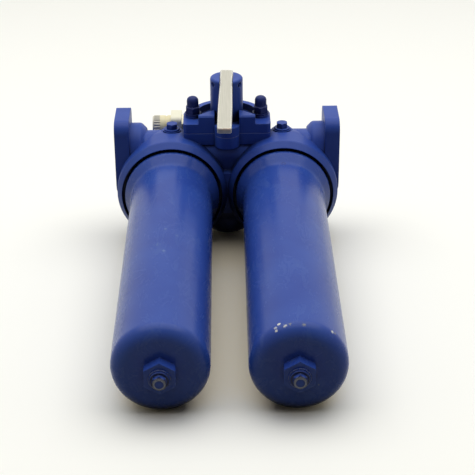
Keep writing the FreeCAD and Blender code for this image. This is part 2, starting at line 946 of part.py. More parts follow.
def closed_end_cap():
    """End cap at the far end, with the seat hole of the bypass valve."""
    cup = end_cap_cup()
    cup.rotate(ORIGIN, ALONG_X, 180)
    hole = rod(bypass_bore / 2, ORIGIN, point(0, cap_thickness, 0))
    return moved(cup.cut(hole), 0, element_bottom, 0)


def bypass_seat():
    return element_bottom + cap_thickness


def bypass_poppet():
    disc_top = bypass_disc + seal_play
    top = cage_height + cage_wall
    body = turned([
        (0, seal_play),
        (bypass_disc_diameter / 2, seal_play),
        (bypass_disc_diameter / 2, disc_top),
        (bypass_stem_diameter / 2, disc_top),
        (bypass_stem_diameter / 2, top),
        (0, top),
    ])
    return moved(body, 0, bypass_seat(), 0)


def bypass_spring():
    """Coil spring between the poppet disc and the roof of the cage."""
    low = bypass_disc + seal_play + spring_wire / 2 + slip
    high = cage_height - cage_wall - spring_wire / 2 - slip
    height = high - low
    helix = Part.makeLongHelix(height / spring_turns, height, spring_diameter / 2)
    start = point(spring_diameter / 2, 0, 0)
    section = Part.Wire(Part.makeCircle(spring_wire / 2, start, ALONG_Y))
    coil = Part.Wire(helix).makePipeShell([section], True, True)
    coil.rotate(ORIGIN, ALONG_X, -90)
    return moved(coil, 0, bypass_seat() + low, 0)


def bypass_cage():
    """Cup with windows that guides the poppet stem and holds the spring."""
    outer = cage_diameter / 2
    body = turned([
        (outer - cage_wall, 0),
        (outer, 0),
        (outer, cage_height, cage_wall),
        (bypass_stem_diameter / 2 + running, cage_height),
        (bypass_stem_diameter / 2 + running, cage_height - cage_wall),
        (outer - cage_wall, cage_height - cage_wall),
    ])
    half = cage_window_width / 2
    windows = [
        box(point(-outer, cage_wall * 2, -half), point(outer, cage_height - cage_wall * 3, half)),
        box(point(-half, cage_wall * 2, -outer), point(half, cage_height - cage_wall * 3, outer)),
    ]
    return moved(body.cut(windows), 0, bypass_seat(), 0)


# Clogging indicator, drawn along +Y from its boss face and then turned to point along -X


def on_indicator_axis(shape):
    copy = shape.copy()
    copy.rotate(ORIGIN, ALONG_Z, 90)
    copy.translate(point(-indicator_boss_reach, indicator_setback, indicator_height))
    return copy


def adapter_end():
    return adapter_length


def block_end():
    return adapter_end() + indicator_block_length


def barrel_end():
    return block_end() + barrel_length


def cap_end():
    return barrel_end() + ribbed_cap_length


def facing_back(shape):
    """Turns a piece that stands up Z so that it points along +Y."""
    copy = shape.copy()
    copy.rotate(ORIGIN, ALONG_X, -90)
    return copy


def indicator_adapter():
    shank = rod(indicator_shank_diameter / 2, point(0, -indicator_shank, 0), point(0, adapter_length / 2, 0))
    return joined([facing_back(hexagon(adapter_flats, 0, adapter_length)), shank])


def indicator_body():
    half = indicator_block / 2
    corner = indicator_block_corner
    block = prism([(-half, -half, corner), (half, -half, corner), (half, half, corner), (-half, half, corner)],
                  adapter_end(), block_end())
    return facing_back(block)


def button_bore():
    return button_diameter / 2 + running


def indicator_barrel():
    radius = barrel_diameter / 2
    body = turned([
        (0, block_end()),
        (radius, block_end()),
        (radius, block_end() + barrel_length / 3),
        (radius - rib_diameter / 2, block_end() + barrel_length / 3),
        (radius - rib_diameter / 2, block_end() + barrel_length / 2),
        (radius, block_end() + barrel_length / 2),
        (radius, barrel_end()),
        (0, barrel_end()),
    ])
    depth = indicator_bore_depth - ribbed_cap_length
    return body.cut(rod(button_bore(), point(0, barrel_end() - depth, 0), point(0, barrel_end(), 0)))


def indicator_cap():
    """Round cap with straight grip ribs and the bore of the button."""
    radius = ribbed_cap_diameter / 2 - rib_diameter / 2
    body = turned([
        (0, barrel_end()),
        (radius, barrel_end()),
        (radius, cap_end(), rib_diameter / 2),
        (0, cap_end()),
    ])
    ribs = []
    for index in range(rib_count):
        angle = 2 * math.pi * index / rib_count
        x = radius * math.cos(angle)
        z = radius * math.sin(angle)
        ribs.append(rod(rib_diameter / 2, point(x, barrel_end(), z), point(x, cap_end() - rib_diameter, z)))
    body = body.fuse(ribs)
    return body.cut(rod(button_bore(), point(0, barrel_end(), 0), point(0, cap_end(), 0)))


def indicator_button():
    low = cap_end() - indicator_bore_depth + loose
    return rod(button_diameter / 2, point(0, low, 0), point(0, cap_end() - loose, 0))


# Assembly


def build_pieces():
    pieces = {"filter_head": filter_head()}
    for side, name in ((-1, "left"), (1, "right")):
        x = side * bowl_x
        plug = hex_plug()
        washer = plug_washer()
        drain_y = -bowl_length - end_boss_height
        pieces[name + "_bowl"] = moved(bowl(), x, 0, 0)
        pieces[name + "_bowl_seal"] = moved(bowl_seal(), x, 0, 0)
        pieces[name + "_drain_washer"] = facing_front(washer, x, drain_y)
        pieces[name + "_drain_plug"] = facing_front(plug, x, drain_y - plug_seal)
        pieces[name + "_vent_washer"] = moved(washer, x, vent_setback, vent_seat())
        pieces[name + "_vent_plug"] = moved(plug, x, vent_setback, vent_seat() + plug_seal)
        pieces[name + "_element_pleats"] = moved(pleated_pack(), x, 0, 0)
        pieces[name + "_element_core"] = moved(core_tube(), x, 0, 0)
        pieces[name + "_element_open_cap"] = moved(open_end_cap(), x, 0, 0)
        pieces[name + "_element_closed_cap"] = moved(closed_end_cap(), x, 0, 0)
        pieces[name + "_nozzle_seal"] = moved(nozzle_seal_ring(), x, 0, 0)
        pieces[name + "_bypass_poppet"] = moved(bypass_poppet(), x, 0, 0)
        pieces[name + "_bypass_spring"] = moved(bypass_spring(), x, 0, 0)
        pieces[name + "_bypass_cage"] = moved(bypass_cage(), x, 0, 0)
    pieces["valve_cover"] = valve_cover()
    pieces["cover_gasket"] = cover_gasket()
    pieces["cover_studs"] = Part.makeCompound(cover_studs())
    pieces["cover_washers"] = Part.makeCompound(cover_washers())
    pieces["cover_nuts"] = Part.makeCompound(cover_nuts())
    pieces["valve_stem"] = about_valve(valve_stem())
    pieces["lever_pin"] = about_valve(lever_pin())
    pieces["lever_bar"] = about_valve(lever_bar())
    pieces["stem_seal"] = about_valve(stem_seal())
    pieces["stem_thrust_washer"] = about_valve(stem_thrust_washer())
    pieces["changeover_rotor"] = about_valve(changeover_rotor())
    pieces["indicator_adapter"] = on_indicator_axis(indicator_adapter())
    pieces["indicator_body"] = on_indicator_axis(indicator_body())
    pieces["indicator_barrel"] = on_indicator_axis(indicator_barrel())
    pieces["indicator_cap"] = on_indicator_axis(indicator_cap())
    pieces["indicator_button"] = on_indicator_axis(indicator_button())
    return pieces


def rest_tilt():
    """Angle in degrees that brings the bowl ends and the valve foot down to one bench."""
    end_y = -(bowl_length - bowl_knuckle)
    end_z = -(bowl_radius - bowl_knuckle)
    foot_y = valve_setback - (valve_body_radius - foot_round)
    foot_z = -(foot_depth - foot_round)
    along = foot_y - end_y
    rise = end_z - foot_z
    lean = math.asin((foot_round - bowl_knuckle) / math.hypot(along, rise))
    return math.degrees(math.atan2(rise, along) + lean)


def laid_down(pieces):
    """Tilts the housing onto the bench and sets the origin below the middle of its outline."""
    whole = FreeCAD.BoundBox()
    for shape in pieces.values():
        shape.rotate(ORIGIN, ALONG_X, rest_tilt())
        whole.add(shape.optimalBoundingBox(False, False))
    shift = point(-whole.Center.x, -whole.Center.y, -whole.ZMin)
    for shape in pieces.values():
        shape.translate(shift)
    return pieces, shift


def main():
    os.makedirs("parts", exist_ok=True)
    pieces, shift = laid_down(build_pieces())
    for name, shape in pieces.items():
        shape.exportStep("parts/" + name + ".step")
    print(len(pieces), "nodes, tilt", round(rest_tilt(), 3), "shift", shift)
    return pieces, shift


main()
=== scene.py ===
# %% [markdown]
# A duplex filter housing lies on a pale bench: two long blue bowls screwed into one cast head,
# with a change-over valve and its lever between them. The solids come from the construction
# model and stay as they are. This lesson gives them their surfaces, the light and the camera.

# %% Load the solids
import bpy
import json
import math
from mathutils import Matrix, Vector


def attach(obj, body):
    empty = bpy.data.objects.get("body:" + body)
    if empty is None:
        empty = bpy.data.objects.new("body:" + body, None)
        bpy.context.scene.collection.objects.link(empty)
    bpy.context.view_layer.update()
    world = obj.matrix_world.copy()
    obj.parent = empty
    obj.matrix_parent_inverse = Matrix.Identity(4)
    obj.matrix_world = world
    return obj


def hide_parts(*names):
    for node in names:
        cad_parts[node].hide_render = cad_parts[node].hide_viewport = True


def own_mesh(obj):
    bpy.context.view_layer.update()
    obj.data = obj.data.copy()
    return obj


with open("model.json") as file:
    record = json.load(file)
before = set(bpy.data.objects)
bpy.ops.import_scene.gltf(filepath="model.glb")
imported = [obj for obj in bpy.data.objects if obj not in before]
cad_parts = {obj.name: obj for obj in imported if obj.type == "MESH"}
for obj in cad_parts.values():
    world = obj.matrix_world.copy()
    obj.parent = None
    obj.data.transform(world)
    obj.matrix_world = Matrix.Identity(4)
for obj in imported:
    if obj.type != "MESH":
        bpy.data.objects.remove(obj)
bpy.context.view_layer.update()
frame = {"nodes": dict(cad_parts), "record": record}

nodes = frame["nodes"]

# %% [markdown]
# The housing does not lie level. Its bowls slope down a little to their ends, because the foot
# of the valve body is deeper than the bowls. The turning axis of the valve is square to the
# bowls, so its direction in the record tells the slope, and nothing has to be measured again.

# %% Read the slope of the housing and the place of its valve
joints = {joint["name"]: joint for joint in frame["record"]["behaviour"]["joints"]}
valve_point = Vector(joints["changeover_turn"]["pos_m"])
valve_axis = Vector(joints["changeover_turn"]["axis"])
slope = math.atan2(-valve_axis.y, valve_axis.z)
lean = Matrix.Rotation(slope, 3, "X")
print("slope in degrees:", round(math.degrees(slope), 3), "valve:", valve_point)

# %% [markdown]
# A finish is a tree of shader nodes, and writing out each link takes many lines. Two helpers make
# a node and fill its sockets by name. A socket takes a plain value or the output of another node,
# so a recipe reads as a list of what goes into each step.

# %% Helpers that make and feed a shader node
def feed(tree, socket, source):
    """Gives a socket a plain value, or joins the output of another node to it."""
    if isinstance(source, bpy.types.NodeSocket):
        tree.links.new(source, socket)
    else:
        socket.default_value = source


def put(tree, kind, *sources, **named):
    """Adds a node. Sources fill its sockets in their order. Named values are settings of the
    node or, with _ for a space, single sockets.
    """
    node = tree.nodes.new(kind)
    for name, value in named.items():
        label = name.replace("_", " ").lower()
        sockets = [s for s in node.inputs if s.name.lower() == label and s.enabled]
        if sockets:
            feed(tree, sockets[0], value)
        else:
            setattr(node, name, value)
    for socket, source in zip(node.inputs, sources):
        feed(tree, socket, source)
    return node


print("helpers ready:", feed.__name__, put.__name__)

# %% [markdown]
# Most steps of a finish are one of a few. The first few start from the place on the surface, lay
# noise over it and do arithmetic with the numbers. Each of these steps gets a short name here.

# %% Helpers for noise and arithmetic
def surface_place(tree):
    """The place of each point of the surface, in metres."""
    return put(tree, "ShaderNodeTexCoord").outputs["Object"]


def noise(tree, vector, scale, detail, roughness, distortion=0.0):
    """Noise round 0.5. Detail adds finer noise to it, and roughness says how strongly."""
    node = put(tree, "ShaderNodeTexNoise", Vector=vector, Scale=scale, Detail=detail,
               Roughness=roughness, Distortion=distortion)
    return node.outputs["Fac"]


def number(tree, operation, *sources, **settings):
    """The result of one piece of arithmetic."""
    node = put(tree, "ShaderNodeMath", *sources, operation=operation, **settings)
    return node.outputs["Value"]


print("helpers ready:", surface_place.__name__, noise.__name__, number.__name__)

# %% [markdown]
# A mask is a number from 0 to 1 that says where something is. It is made from any number with
# two limits, and it mixes two numbers or two colours.

# %% Helpers for masks and mixes
colour_result = 2  # the outputs of a Mix node are a number, a vector and a colour


def threshold(tree, value, low, high):
    """A mask that rises smoothly from 0 to 1 as the value goes from low to high."""
    node = put(tree, "ShaderNodeMapRange", interpolation_type="SMOOTHSTEP", Value=value,
               From_Min=low, From_Max=high)
    return node.outputs["Result"]


def mix_numbers(tree, mask, first, second):
    """A number that goes from first to second as the mask goes from 0 to 1."""
    node = put(tree, "ShaderNodeMapRange", Value=mask, To_Min=first, To_Max=second)
    return node.outputs["Result"]


def mix_colours(tree, mask, first, second):
    """Two colours mixed by a mask. A colour is three numbers or the output of another node."""
    first, second = ((*tone, 1.0) if isinstance(tone, tuple) else tone for tone in (first, second))
    node = put(tree, "ShaderNodeMix", data_type="RGBA", Factor=mask, A=first, B=second)
    return node.outputs[colour_result]


print("helpers ready:", threshold.__name__, mix_numbers.__name__, mix_colours.__name__)

# %% [markdown]
# Several finishes share the same effects. Each effect is a node group with named sockets: it is
# built once and gives a mask or a normal, and every material sets its own values on it.

# %% Helper that starts an effect
def new_group(name, inputs, outputs=("Mask",)):
    """An empty node group. Inputs are names with their values, and outputs are names."""
    group = bpy.data.node_groups.new(name, "ShaderNodeTree")
    for label, default in inputs.items():
        kind = "NodeSocketFloat" if isinstance(default, float) else "NodeSocketVector"
        socket = group.interface.new_socket(name=label, in_out="INPUT", socket_type=kind)
        socket.default_value = default
    for label in outputs:
        kind = "NodeSocketVector" if label == "Normal" else "NodeSocketFloat"
        group.interface.new_socket(name=label, in_out="OUTPUT", socket_type=kind)
    given = group.nodes.new("NodeGroupInput").outputs
    result = group.nodes.new("NodeGroupOutput").inputs
    return group, given, result


print("helper ready:", new_group.__name__)

# %% [markdown]
# The first effect is the wear of edges, where paint is thin or chipped. A bevelled normal differs
# from the plain one only near an edge, so how well the two agree marks the edges. Noise then
# keeps some patches of them and drops the rest.

# %% Effect: worn edges
bevel_samples = 6
flat_agreement = 0.980
edge_agreement = 0.88

worn_edges, given, result = new_group(
    "worn edges", {"Radius": 0.001, "Patch Scale": 300.0, "Amount": 0.5})
rounded = put(worn_edges, "ShaderNodeBevel", samples=bevel_samples, Radius=given["Radius"])
plain = put(worn_edges, "ShaderNodeNewGeometry")
agreement = put(worn_edges, "ShaderNodeVectorMath", rounded.outputs["Normal"],
                plain.outputs["Normal"], operation="DOT_PRODUCT")
edge = threshold(worn_edges, agreement.outputs["Value"], flat_agreement, edge_agreement)
patches = noise(worn_edges, surface_place(worn_edges), given["Patch Scale"],
                detail=4.0, roughness=0.65)
limit = number(worn_edges, "SUBTRACT", 1.0, given["Amount"])
patchy = number(worn_edges, "GREATER_THAN", patches, limit)
feed(worn_edges, result["Mask"], number(worn_edges, "MULTIPLY", edge, patchy))
print("group:", worn_edges.name, [s.name for s in worn_edges.interface.items_tree])

# %% [markdown]
# Sand casting, brushed paint and fine fibre all show as a small relief. One group makes that
# relief from noise at two sizes, the grain itself and a slower swell, and hands out a normal.
# It starts from a slightly bevelled normal, so that sharp edges of the solids catch the light
# as real machined and painted edges do.

# %% Effect: fine relief over softened edges
relief_height = 0.0004

fine_relief, given, result = new_group(
    "fine relief",
    {"Grain Scale": 900.0, "Grain Depth": 0.2, "Swell Scale": 60.0, "Swell Depth": 0.1,
     "Edge Radius": 0.0006},
    outputs=("Normal",))
place = surface_place(fine_relief)
softened = put(fine_relief, "ShaderNodeBevel", samples=bevel_samples, Radius=given["Edge Radius"])
normal = softened.outputs["Normal"]
for layer, layer_detail in (("Swell", 2.0), ("Grain", 3.0)):
    heights = noise(fine_relief, place, given[layer + " Scale"], layer_detail, roughness=0.55)
    relief = put(fine_relief, "ShaderNodeBump", Distance=relief_height,
                 Strength=given[layer + " Depth"], Height=heights, Normal=normal)
    normal = relief.outputs["Normal"]
feed(fine_relief, result["Normal"], normal)
print("group:", fine_relief.name)

# %% [markdown]
# Handled enamel is never one even tone. Broad clouds come from uneven thickness and from hands,
# and pale rub marks from what it was laid against. This group gives both as masks: soft clouds,
# and scuffs that are stretched along the bowls, where the housing slides over a shelf.

# %% Effect: clouds and scuffs
along_bowls = (1.0, 0.35, 1.0)

handling, given, result = new_group(
    "handling marks", {"Cloud Scale": 18.0, "Scuff Scale": 55.0, "Scuff Amount": 0.3},
    outputs=("Clouds", "Scuffs"))
place = surface_place(handling)
clouds = noise(handling, place, given["Cloud Scale"], detail=3.0, roughness=0.5)
feed(handling, result["Clouds"], clouds)
stretched = put(handling, "ShaderNodeMapping", Scale=along_bowls, Vector=place)
scuffs = noise(handling, stretched.outputs["Vector"], given["Scuff Scale"],
               detail=6.0, roughness=0.75, distortion=0.6)
limit = number(handling, "SUBTRACT", 1.0, given["Scuff Amount"])
feed(handling, result["Scuffs"], threshold(handling, scuffs, limit, 1.0))
print("group:", handling.name)

# %% [markdown]
# Some marks sit at known places: paint has come off the round end of the right bowl where it was
# set down, and the left bowl has a rubbed patch on its crest. This group breaks the paint only
# near one point. The noise has to pass a limit that rises with the distance from that point.

# %% Effect: marks at one place
paint_holds = 0.97
paint_is_off = 1.03

local_marks, given, result = new_group(
    "marks at a place",
    {"Centre": (0.0, 0.0, 0.0), "Reach": 0.006, "Stretch": (1.0, 1.0, 1.0), "Grain Scale": 500.0,
     "Amount": 0.6})
place = surface_place(local_marks)
away = put(local_marks, "ShaderNodeVectorMath", place, given["Centre"], operation="DISTANCE")
near = threshold(local_marks, away.outputs["Value"], given["Reach"], 0.0)
drawn_out = put(local_marks, "ShaderNodeVectorMath", place, given["Stretch"], operation="MULTIPLY")
flakes = noise(local_marks, drawn_out.outputs["Vector"], given["Grain Scale"],
               detail=5.0, roughness=0.7, distortion=0.8)
strength = number(local_marks, "MULTIPLY", near, given["Amount"])
total = number(local_marks, "ADD", flakes, strength)
feed(local_marks, result["Mask"], threshold(local_marks, total, paint_holds, paint_is_off))
print("group:", local_marks.name)

# %% [markdown]
# Shade is painted nearly black into the deep corners, such as the pocket between the two collars
# and the gap round each bowl neck. A recess is where little of the space above a point is open,
# which the occlusion node measures. The bench uses the same mask to paint a warm tone into the
# shadow under the housing.

# %% Effect: painted shade in recesses
occlusion_samples = 12
open_enough = 0.58
closed_in = 0.22

recess_shade, given, result = new_group("recess grime", {"Distance": 0.04, "Amount": 0.8})
openness = put(recess_shade, "ShaderNodeAmbientOcclusion", samples=occlusion_samples,
               Distance=given["Distance"])
recess = threshold(recess_shade, openness.outputs["AO"], open_enough, closed_in)
feed(recess_shade, result["Mask"], number(recess_shade, "MULTIPLY", recess, given["Amount"]))
print("group:", recess_shade.name)

# %% [markdown]
# Some marks are rings: one round the worn chamfer of each drain plug, one of painted shade round
# its foot, where the groove lies in shade, and a small dark one on the shoulder of the right bowl,
# the shade of a stamped dimple painted as a ring. A ring is where the distance from its middle is
# about its radius, and it shows only where the surface passes there. Noise breaks its line.

# %% Effect: ring-shaped marks
ring_marks, given, result = new_group(
    "ring mark",
    {"Centre": (0.0, 0.0, 0.0), "Radius": 0.006, "Width": 0.001, "Break Scale": 600.0,
     "Break Depth": 0.4})
place = surface_place(ring_marks)
away = put(ring_marks, "ShaderNodeVectorMath", place, given["Centre"], operation="DISTANCE")
from_ring = number(ring_marks, "SUBTRACT", away.outputs["Value"], given["Radius"])
off_ring = number(ring_marks, "ABSOLUTE", from_ring)
line = threshold(ring_marks, off_ring, given["Width"], 0.0)
breaks = noise(ring_marks, place, given["Break Scale"], detail=3.0, roughness=0.6)
broken = number(ring_marks, "MULTIPLY", breaks, given["Break Depth"])
feed(ring_marks, result["Mask"], number(ring_marks, "SUBTRACT", line, broken, use_clamp=True))
print("group:", ring_marks.name)

# %% [markdown]
# Each finish is a material with one Principled shader, which has a socket for each thing that
# the recipe sets: colour, roughness, metal and normal. The effects are placed in it as groups.

# %% Helpers that start a finish and place an effect in it
def new_finish(name):
    """A material with a Principled shader joined to its output."""
    finish = bpy.data.materials.new(name)
    finish.use_nodes = True
    tree = finish.node_tree
    tree.nodes.clear()
    shader = put(tree, "ShaderNodeBsdfPrincipled")
    put(tree, "ShaderNodeOutputMaterial", Surface=shader.outputs["BSDF"])
    return finish, tree, shader


def use_group(tree, group, **values):
    """Places an effect with the finish's own values."""
    return put(tree, "ShaderNodeGroup", node_tree=group, **values)


print("helpers ready:", new_finish.__name__, use_group.__name__)

# %% [markdown]
# The whole housing was sprayed after it was put together, so head, bowls, cover, nuts, plugs
# and stem share one deep blue enamel. It is darker where it lies thick. Rubs make it paler, a
# grey primer shows where an edge has lost its paint, and shade painted into the recesses is nearly
# black.

# %% Colours of the enamel
blue_thick = (0.015, 0.040, 0.266)
blue_thin = (0.035, 0.089, 0.384)
rub_blue = (0.080, 0.140, 0.37)
primer_grey = (0.24, 0.25, 0.28)
# The near-black of shade painted into recesses and round the feet of the drain plugs.
painted_shade = (0.004, 0.004, 0.008)
enamel_reflection = 0.17
print("blue, thick and thin:", blue_thick, blue_thin)

# %% [markdown]
# Under the enamel only the ground changes: rough on the castings, smooth on the drawn bowls. One
# function builds the enamel in layers, from the clouds of blue up to the marks at known places,
# and each use sets its own relief, wear and gloss.

# %% Recipe for blue enamel
def enamel(name, grain, swell, edge_radius, chips, gloss, scuffs, marks=(), rings=(),
           tones=(blue_thick, blue_thin)):
    """Blue enamel. Gloss is the roughness where it is smooth and where it is scuffed. Marks
    and rings are made by mark() and ring().
    """
    finish, tree, shader = new_finish(name)
    handled = use_group(tree, handling, Scuff_Amount=scuffs)
    chipped = use_group(tree, worn_edges, Radius=edge_radius, Patch_Scale=420.0, Amount=chips)
    shaded_recess = use_group(tree, recess_shade, Distance=0.080, Amount=0.9)
    relief = use_group(tree, fine_relief, Grain_Scale=700.0, Grain_Depth=grain,
                       Swell_Scale=90.0, Swell_Depth=swell, Edge_Radius=edge_radius)
    colour = mix_colours(tree, handled.outputs["Clouds"], *tones)
    colour = mix_colours(tree, handled.outputs["Scuffs"], colour, rub_blue)
    colour = mix_colours(tree, chipped.outputs["Mask"], colour, primer_grey)
    # Painted shade: the occlusion mask darkens recesses nearly to black.
    colour = mix_colours(tree, shaded_recess.outputs["Mask"], colour, painted_shade)
    for tone, values in marks:
        spot = use_group(tree, local_marks, **values)
        colour = mix_colours(tree, spot.outputs["Mask"], colour, tone)
    bare_metal = 0.0
    for tone, shine, values in rings:
        loop = use_group(tree, ring_marks, **values)
        colour = mix_colours(tree, loop.outputs["Mask"], colour, tone)
        if shine:
            bare_metal = number(tree, "MULTIPLY_ADD", loop.outputs["Mask"], shine, bare_metal)
    feed(tree, shader.inputs["Base Color"], colour)
    feed(tree, shader.inputs["Metallic"], bare_metal)
    feed(tree, shader.inputs["Roughness"],
         mix_numbers(tree, handled.outputs["Scuffs"], *gloss))
    feed(tree, shader.inputs["Normal"], relief.outputs["Normal"])
    feed(tree, shader.inputs["Specular IOR Level"], enamel_reflection)
    return finish


print("recipe ready:", enamel.__name__)

# %% [markdown]
# A mark is a point of the surface, a tone, and the values of the effect that draws it. Two
# helpers keep these together, so that a list of marks can be read and changed line by line.

# %% Helpers that describe a mark
def mark(centre, tone, reach, stretch, grain_scale, amount):
    """A mark at one place: its tone and the values of its effect."""
    return tone, dict(Centre=centre, Reach=reach, Stretch=stretch, Grain_Scale=grain_scale,
                      Amount=amount)


def ring(centre, tone, radius, width, breaks, shine=0.0):
    """A ring-shaped mark: its tone, how much it shines as metal, and its effect's values."""
    return tone, shine, dict(Centre=centre, Radius=radius, Width=width, Break_Depth=breaks)


print("helpers ready:", mark.__name__, ring.__name__)

# %% [markdown]
# The marks of the bowls were placed one by one: white chips in short strokes on the round end of
# the right bowl, a few grey ones beside them, and pale rubs on the crest of the left bowl. A
# stretch above 1 makes the grains of a mark narrower in that direction, and one below 1 longer.

# %% Chips, rubs and the stamped ring of the bowls
even = (1.0, 1.0, 1.0)
chip_white = (0.62, 0.62, 0.60)
rub_pale = (0.13, 0.20, 0.42)
ring_shade = (0.012, 0.028, 0.17)

bowl_marks = [
    mark((0.0494, -0.2429, 0.0975), chip_white, 0.0050, (1.0, 0.6, 0.6), 700.0, 0.70),
    mark((0.0458, -0.2465, 0.0949), chip_white, 0.0052, (2.0, 0.35, 0.35), 800.0, 0.60),
    mark((0.0468, -0.2500, 0.0935), chip_white, 0.0050, (2.2, 0.30, 0.30), 900.0, 0.59),
    mark((0.0555, -0.2485, 0.0982), chip_white, 0.0065, (0.30, 1.6, 1.6), 800.0, 0.57),
    mark((0.0605, -0.2476, 0.0998), primer_grey, 0.0060, (0.35, 1.0, 1.0), 800.0, 0.54),
    mark((0.0745, -0.2495, 0.0998), primer_grey, 0.0065, (0.45, 1.0, 1.0), 900.0, 0.58),
    mark((0.1030, -0.2451, 0.0892), chip_white, 0.0052, (0.7, 1.0, 0.8), 700.0, 0.66),
    mark((0.1060, -0.2440, 0.0868), primer_grey, 0.0060, (0.4, 1.0, 0.6), 900.0, 0.54),
    mark((0.0900, -0.2543, 0.0339), primer_grey, 0.0022, even, 900.0, 0.60),
    mark((-0.0706, -0.0915, 0.1097), rub_pale, 0.0065, (1.0, 0.5, 1.0), 600.0, 0.60),
    mark((-0.0702, -0.0382, 0.1124), rub_pale, 0.0055, (1.0, 0.4, 1.0), 700.0, 0.58),
    mark((-0.0571, -0.0527, 0.1100), rub_pale, 0.0060, even, 700.0, 0.58),
    mark((-0.0790, -0.0750, 0.1094), rub_blue, 0.0180, (2.0, 0.25, 1.0), 420.0, 0.48),
]
# The stamped ring is the shade of a small dimple, painted as a dark ring.
stamped_dimple_shade = ring((0.0695, 0.1353, 0.1218), ring_shade, radius=0.0022, width=0.0012, breaks=0.3)
print("marks of the bowls:", len(bowl_marks), "and one ring")

# %% [markdown]
# The castings get the deepest relief and a dull gloss, and the bowls the finest and glossiest.
# The cap nuts and their washers are darker than the rest, so they start from darker tones
# instead of the two blues.

# %% The enamels
dark_nut_tones = ((0.008, 0.016, 0.105), (0.018, 0.036, 0.190))
cast_enamel = enamel("cast enamel", grain=0.22, swell=0.25, edge_radius=0.0012, chips=0.36,
                     gloss=(0.40, 0.55), scuffs=0.30)
bowl_enamel = enamel("bowl enamel", grain=0.05, swell=0.08, edge_radius=0.0008, chips=0.30,
                     gloss=(0.27, 0.42), scuffs=0.50, marks=bowl_marks, rings=[stamped_dimple_shade])
fastener_enamel = enamel("fastener enamel", grain=0.08, swell=0.10, edge_radius=0.0005, chips=0.40,
                         gloss=(0.38, 0.50), scuffs=0.30)
nut_enamel = enamel("dark nut enamel", grain=0.20, swell=0.20, edge_radius=0.0008, chips=0.42,
                    gloss=(0.42, 0.58), scuffs=0.40, tones=dark_nut_tones)
print("enamels:", cast_enamel.name, bowl_enamel.name, fastener_enamel.name, nut_enamel.name)

# %% [markdown]
# The drain plugs at the bowl ends were turned after painting. The wrench has chipped their
# corners down to the primer, and a ring of bare metal shows round the chamfer of each head. A ring
# of painted shade lies round the foot of each plug, where its groove is shaded. They get the
# enamel with these marks.

# %% Finish: wrench-worn enamel
worn_bright = (0.80, 0.82, 0.86)
plug_side = 0.0700
chamfer_radius = 0.0058

plug_tips = [(side, -0.2772, 0.0490) for side in (-plug_side, plug_side)]
plug_feet = [(side, -0.2707, 0.0493) for side in (-plug_side, plug_side)]
tip_wear = [mark(tip, primer_grey, chamfer_radius, even, 700.0, 0.42) for tip in plug_tips]
plug_rings = [ring(tip, worn_bright, chamfer_radius, width=0.0020, breaks=0.25, shine=0.80)
              for tip in plug_tips]
# The rings round the plug feet are painted shade of the grooves there.
plug_rings += [ring(foot, painted_shade, radius=0.0088, width=0.0022, breaks=0.2) for foot in plug_feet]
worn_fastener = enamel("wrench worn enamel", grain=0.10, swell=0.12, edge_radius=0.0012,
                       chips=0.55, gloss=(0.34, 0.48), scuffs=0.42, marks=tip_wear,
                       rings=plug_rings)
print("finish:", worn_fastener.name)

# %% [markdown]
# The lever is bare flat bar. Drawn steel has fine lines along its length and a dull, slightly
# yellow bloom from storage. Noise that is squeezed across the bar and stretched along it makes
# the lines, and a slow noise makes the bloom.

# %% Drawn steel of the lever: lines and bloom
bright_steel = (0.47, 0.455, 0.39)
dull_steel = (0.41, 0.395, 0.335)
along_lever = (1.0, 0.03, 0.08)
line_contrast = (0.35, 0.65)
bloom_contrast = (0.45, 0.95)

lever_steel, tree, shader = new_finish("drawn lever steel")
place = surface_place(tree)
stretched = put(tree, "ShaderNodeMapping", Scale=along_lever, Vector=place)
lines = noise(tree, stretched.outputs["Vector"], scale=900.0, detail=5.0, roughness=0.7)
bloom = noise(tree, place, scale=45.0, detail=4.0, roughness=0.6)
streaked = mix_colours(tree, threshold(tree, lines, *line_contrast), dull_steel, bright_steel)
dulled = mix_colours(tree, threshold(tree, bloom, *bloom_contrast), streaked, dull_steel)
print("finish started:", lever_steel.name)

# %% [markdown]
# The sawn end of the bar is tarnished brown, and a painted highlight runs along its long edges.
# The end is found from the bar itself: it is the face that lies furthest towards the camera.

# %% Drawn steel of the lever: tarnished end and painted edge highlight
end_brown = (0.60, 0.42, 0.25)
edge_highlight = (0.90, 0.90, 0.88)
tarnish_starts = 0.0012
tarnish_is_full = 0.0002
lever_roughness = (0.45, 0.65)
lever_metal = 0.45

bar = nodes["lever_bar"]
bar_end = min((bar.matrix_world @ Vector(corner)).y for corner in bar.bound_box)
backwards = put(tree, "ShaderNodeSeparateXYZ", Vector=place).outputs["Y"]
at_end = threshold(tree, backwards, bar_end + tarnish_starts, bar_end + tarnish_is_full)
tarnished = mix_colours(tree, at_end, dulled, end_brown)
# The bright long edges are a painted highlight.
bar_edge_highlight = use_group(tree, worn_edges, Radius=0.0026, Patch_Scale=200.0, Amount=0.95)
highlighted = mix_colours(tree, bar_edge_highlight.outputs["Mask"], tarnished, edge_highlight)
line_relief = put(tree, "ShaderNodeBump", Strength=0.12, Distance=0.0002, Height=lines)
feed(tree, shader.inputs["Base Color"], highlighted)
feed(tree, shader.inputs["Roughness"], mix_numbers(tree, lines, *lever_roughness))
feed(tree, shader.inputs["Normal"], line_relief.outputs["Normal"])
feed(tree, shader.inputs["Metallic"], lever_metal)
print("finish:", lever_steel.name, "bar ends at y:", round(bar_end, 4))

# %% [markdown]
# Inner and small parts are plain machined steel, zinc sheet, rubber, filter mat and moulded
# plastic. They hardly show, but a part is looked at from all sides and taken apart, so each has
# its own tone and grain. One function is enough: two tones, a roughness range and a relief.

